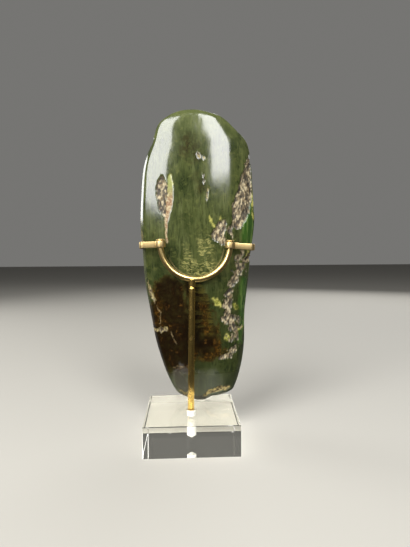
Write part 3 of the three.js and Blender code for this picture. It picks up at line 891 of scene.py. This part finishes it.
deep_radius = np.concatenate([rod_radius, POST_RADIUS + FILLET_DEEPER * climb])
ring_y = deep_radius[:, None] * np.sin(turn)
off_centre = np.minimum(np.abs(ring_y), FORK_RADIUS)
seat = fork_under - np.sqrt(FORK_RADIUS**2 - off_centre**2) + SEAT_OVERLAP
fillet_start = rod_z[-1] + POST_FOOT_Z
level_z = np.concatenate([rod_z + POST_FOOT_Z, np.full(FILLET_RINGS, fillet_start)])[:, None]
post_z = level_z + fillet[:, None] * (seat - fillet_start)
post_x = POST_FOOT_X + (POST_TOP_X - POST_FOOT_X) * (post_z - POST_FOOT_Z) / (fork_under - POST_FOOT_Z)
post_rings = np.stack([post_x + wide[:, None] * np.cos(turn), ring_y, post_z], -1)
post_brass = brass_finish("post_brass", 0.75, 0.21)
post_points, post_faces = closed_tube(post_rings)
post = make_piece("brass_post", post_points, post_faces, post_brass, "post")

# %% [markdown]
# ## The arms
# Each arm is a flat strip. Its inner end is rolled round the fork's end into an eye, it runs out behind
# the rod along the stone's face, turns back round the side and ends in a short hook behind. The strip is
# a rounded rectangle carried along a line seen from above, which is walked like a turtle: straight runs
# and round bends.

# %% Walk an arm's line
STRIP_THICK, STRIP_TALL, STRIP_ROUND, EYE_RADIUS, EYE_TURN = 1.15, 4.2, 0.28, 2.35, 260


def arm_line(flat, bend, turn, side_run, curl, hook, tip):
    """Centre points and headings of an arm from above, about the eye's axis, close together throughout."""
    eye = EYE_RADIUS + STRIP_THICK / 2
    back = np.radians(np.linspace(EYE_TURN, 0, 60))
    line = [np.stack([-eye * np.sin(back), eye * np.cos(back), back], -1)]
    x, y, heading = 0.0, eye, 0.0
    for length, radius, degrees in ((flat, bend, turn), (side_run, curl, hook), (tip, 0, 0)):
        steps = np.linspace(0, length, max(int(length / 0.8), 3))[1:]
        run_x, run_y = x + steps * math.cos(heading), y + steps * math.sin(heading)
        line.append(np.stack([run_x, run_y, np.full(len(steps), heading)], -1))
        x, y = run_x[-1], run_y[-1]
        turned = heading + np.radians(np.linspace(0, degrees, int(degrees / 5) + 1))[1:]
        middle = np.array([x - radius * math.sin(heading), y + radius * math.cos(heading)])
        if len(turned):
            bent = middle + radius * np.stack([np.sin(turned), -np.cos(turned)], -1)
            line.append(np.column_stack([bent, turned]))
            x, y, heading = *bent[-1], turned[-1]
    return np.vstack(line)


def rounded_bar(thick, tall, corner):
    """The strip's section: a rectangle with round corners, anticlockwise."""
    angle = np.linspace(0, math.pi / 2, 5)
    quarter = corner * np.stack([np.cos(angle), np.sin(angle)], -1)
    signs = [(1, 1), (-1, 1), (-1, -1), (1, -1)]
    corners = []
    for i, (sx, sy) in enumerate(signs):
        arc = quarter * [sx, sy] + [sx * (thick / 2 - corner), sy * (tall / 2 - corner)]
        corners.append(arc if i % 2 == 0 else arc[::-1])
    return np.vstack(corners)


def make_arm(name, replaced, line, x, z, droop, mirrored):
    """An arm on the fork's end: its section carried along the line, tilted about the eye and moved there."""
    heading = line[:, 2]
    centre = np.column_stack([line[:, :2], np.zeros(len(line))])
    sideways = np.stack([-np.sin(heading), np.cos(heading), 0 * heading], -1)
    section = rounded_bar(STRIP_THICK, STRIP_TALL, STRIP_ROUND)
    rings = carried(section, centre, sideways, np.tile([0.0, 0.0, 1.0], (len(line), 1)))
    cosine, sine = math.cos(math.radians(droop)), math.sin(math.radians(droop))
    rings = rings @ np.array([[cosine, 0, -sine], [0, 1, 0], [sine, 0, cosine]])
    if mirrored:
        rings = rings[:, ::-1] * [-1, 1, 1]
    rings = rings + [x, 0, z]
    arm_points, arm_faces = closed_tube(rings)
    arm = make_piece(name, arm_points, arm_faces, arm_brass, replaced)
    store_uv(arm, rings, np.zeros(rings.shape[:2]))


arm_brass = brass_finish("arm_brass", 0.1, 0.36)
left_line = arm_line(flat=12.1, bend=1.9, turn=84, side_run=17.4, curl=3.6, hook=66, tip=6.0)
right_line = arm_line(flat=14.3, bend=2.8, turn=85, side_run=16.8, curl=3.6, hook=66, tip=6.0)
make_arm("brass_arm_left", "arm_left", left_line, FORK_X - BEND, 130.9, droop=2, mirrored=True)
make_arm("brass_arm_right", "arm_right", right_line, FORK_X + BEND, 129.95, droop=4, mirrored=False)

# %% Heat marks and scratches on the post
HEAT_REACH = 5
joint_z = fork_under - FORK_RADIUS
post_heat = rise(post_rings[..., 2], joint_z - HEAT_REACH, joint_z)
store_uv(post, post_rings, post_heat)
print("brazed joint at z =", round(joint_z, 1))

# %% [markdown]
# ## Floor and light
# A plain pale floor and a soft box on each side in front. Polished stone shows its form by what it
# mirrors, so each box lies where one of the stone's bevels mirrors it. A weaker box behind on the left
# draws the thin bright line down the stone's side, and one high behind on the right lights the back. The
# floor is kept out of mirror reflections, as black card would do on a real table, or it would veil the
# dark lower half.


# %% The floor
def floor_plane(half, z):
    mesh = bpy.data.meshes.new("floor")
    corners = [(-half, -half, z), (half, -half, z), (half, half, z), (-half, half, z)]
    mesh.from_pydata(corners, [], [(0, 1, 2, 3)])
    return bpy.data.objects.new("floor", mesh)


floor_finish = Finish("floor_paper", Base_Color=colour(172, 169, 161), Roughness=0.7, Specular_IOR_Level=0.2)
FLOOR_HALF, FLOOR_Z = 6.0, -0.0003
floor = floor_plane(FLOOR_HALF, FLOOR_Z)
floor.data.materials.append(floor_finish.material)
floor.visible_glossy = False
bpy.context.scene.collection.objects.link(floor)


# %% Soft boxes
LIT_POINT = Vector((5, 8, 175)) * MM


def soft_box(name, bearing, elevation, distance, across, tall, radiance):
    """An area light that faces the stone. bearing is measured from straight in front, + to the right. across
    and tall are the angles it fills, and its power is pi times its area times its radiance."""
    light = bpy.data.lights.new(name, "AREA")
    width, height = (2 * distance * math.tan(math.radians(angle / 2)) for angle in (across, tall))
    light.shape, light.size, light.size_y = "RECTANGLE", width, height
    light.energy = math.pi * width * height * radiance
    lamp = bpy.data.objects.new(name, light)
    b, e = math.radians(bearing), math.radians(elevation)
    away = Vector((math.sin(b) * math.cos(e), -math.cos(b) * math.cos(e), math.sin(e)))
    lamp.location = LIT_POINT + away * distance
    lamp.rotation_euler = away.to_track_quat("Z", "Y").to_euler()
    bpy.context.scene.collection.objects.link(lamp)


# Bearing, elevation, metres away, angles across and tall, radiance.
soft_box("left_box", -38, 32, 1.0, 30, 48, 11.5)
soft_box("right_box", 20, 37, 1.0, 19, 40, 13.0)
soft_box("back_left_box", -120, 15, 1.0, 22, 24, 8.0)
soft_box("back_right_box", 150, 24, 1.2, 40, 40, 3.0)

# %% The room: grey behind the stone, dark in front of it
world = bpy.data.worlds.new("studio_room")
world.use_nodes = True
bpy.context.scene.world = world
room = world.node_tree
direction = room.nodes.new("ShaderNodeTexCoord").outputs["Generated"]
parts = room.nodes.new("ShaderNodeSeparateXYZ")
room.links.new(direction, parts.inputs[0])
ramp = room.nodes.new("ShaderNodeValToRGB")
ramp.color_ramp.elements[0].position, ramp.color_ramp.elements[0].color = 0.35, (0.03, 0.03, 0.03, 1)
ramp.color_ramp.elements[1].position, ramp.color_ramp.elements[1].color = 0.85, (0.18, 0.178, 0.17, 1)
half_up = room.nodes.new("ShaderNodeMapRange")
half_up.inputs["From Min"].default_value = -1
room.links.new(parts.outputs["Y"], half_up.inputs["Value"])
room.links.new(half_up.outputs[0], ramp.inputs[0])
room.links.new(ramp.outputs[0], room.nodes["Background"].inputs["Color"])
bpy.context.scene.view_settings.view_transform = "Standard"
